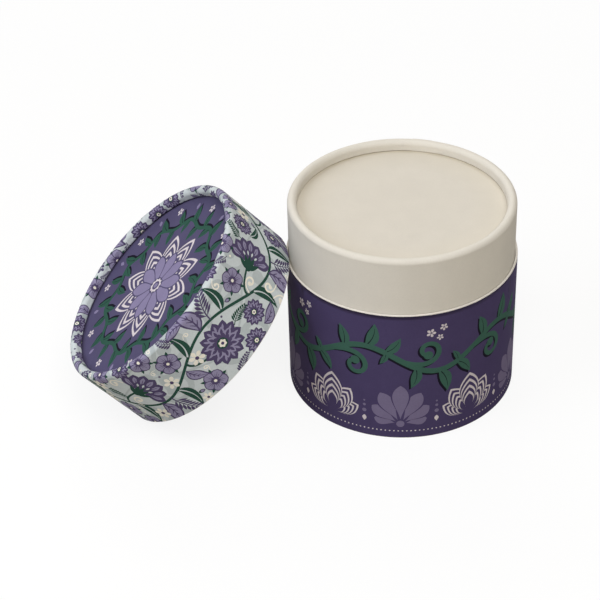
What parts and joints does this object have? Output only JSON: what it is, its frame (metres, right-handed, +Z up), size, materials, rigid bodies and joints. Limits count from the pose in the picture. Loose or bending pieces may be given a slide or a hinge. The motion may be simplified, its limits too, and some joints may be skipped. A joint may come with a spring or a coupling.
{
  "type": "cylindrical gift tube box",
  "caption": "Round paper tube gift box: a wrapped base, a white inner cap standing in it as a neck, and a printed rolled-rim lid taken off and leant on the neck.",
  "frame": {"origin": "centre of the base's foot, on the table that it stands on", "axes": "+Z up along the base's axis; the lid lies towards -X and the pictured side faces -Y"},
  "size_m": [0.1695, 0.1015, 0.0806],
  "materials": {
    "wound_board": "matte",
    "purple_wrap": "satin",
    "white_lining": "matte",
    "white_wrap": "matte",
    "printed_wrap": "satin"
  },
  "bodies": {
    "base": {"base_tube": "wound_board", "base_wrap": "purple_wrap", "base_lining": "white_lining", "bottom_paper": "purple_wrap", "bottom_board": "wound_board", "floor_paper": "white_lining"},
    "inner_cap": {"inner_cap_tube": "wound_board", "inner_cap_wrap": "white_wrap", "inner_cap_lining": "white_lining", "inner_cap_top_paper": "white_wrap", "inner_cap_board": "wound_board", "inner_cap_ceiling_paper": "white_lining"},
    "lid": {"lid_tube": "wound_board", "lid_wrap": "printed_wrap", "lid_lining": "white_lining", "lid_top_paper": "purple_wrap", "lid_board": "wound_board", "lid_ceiling_paper": "white_lining"}
  },
  "joints": [
    {"name": "inner_cap_pull", "type": "slide", "parent": "base", "child": "inner_cap", "axis": [0, 0, 1], "range_m": [0, 0.075]},
    {"name": "lid_lift", "type": "slide", "parent": "base", "child": "lid", "axis": [-0.6631, -0.1074, 0.7408], "range_m": [0, 0.06]}
  ]
}
